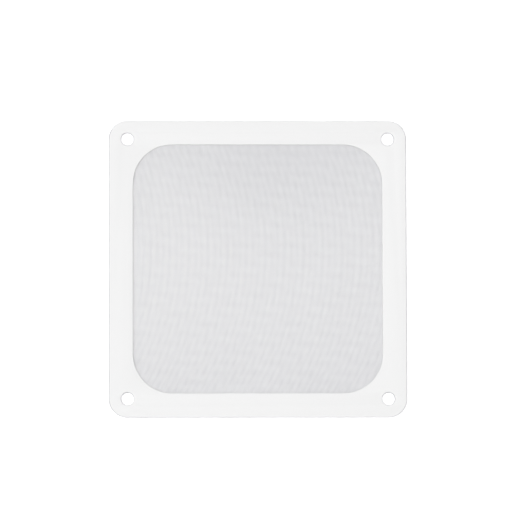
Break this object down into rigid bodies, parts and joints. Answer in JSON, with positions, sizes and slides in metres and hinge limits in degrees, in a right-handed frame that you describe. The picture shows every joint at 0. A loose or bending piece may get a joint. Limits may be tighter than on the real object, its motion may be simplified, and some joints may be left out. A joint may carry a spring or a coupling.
{
  "type": "fan dust filter",
  "caption": "Flat square dust filter for a case fan: a thin white frame with rounded corners and corner screw holes round a fine woven mesh window.",
  "frame": {"origin": "centre of the backing frame's flat back, the face that goes against the fan or case", "axes": "+Z out of the filter's face, away from the fan; +X to the right and +Y up as the face is seen"},
  "size_m": [0.12, 0.12, 0.0016],
  "materials": {
    "frame": "satin white PVC sheet",
    "mesh": "fine woven white nylon monofilament"
  },
  "bodies": {
    "root": {"front_frame": "frame", "filter_mesh": "mesh", "back_frame": "frame"}
  },
  "joints": []
}
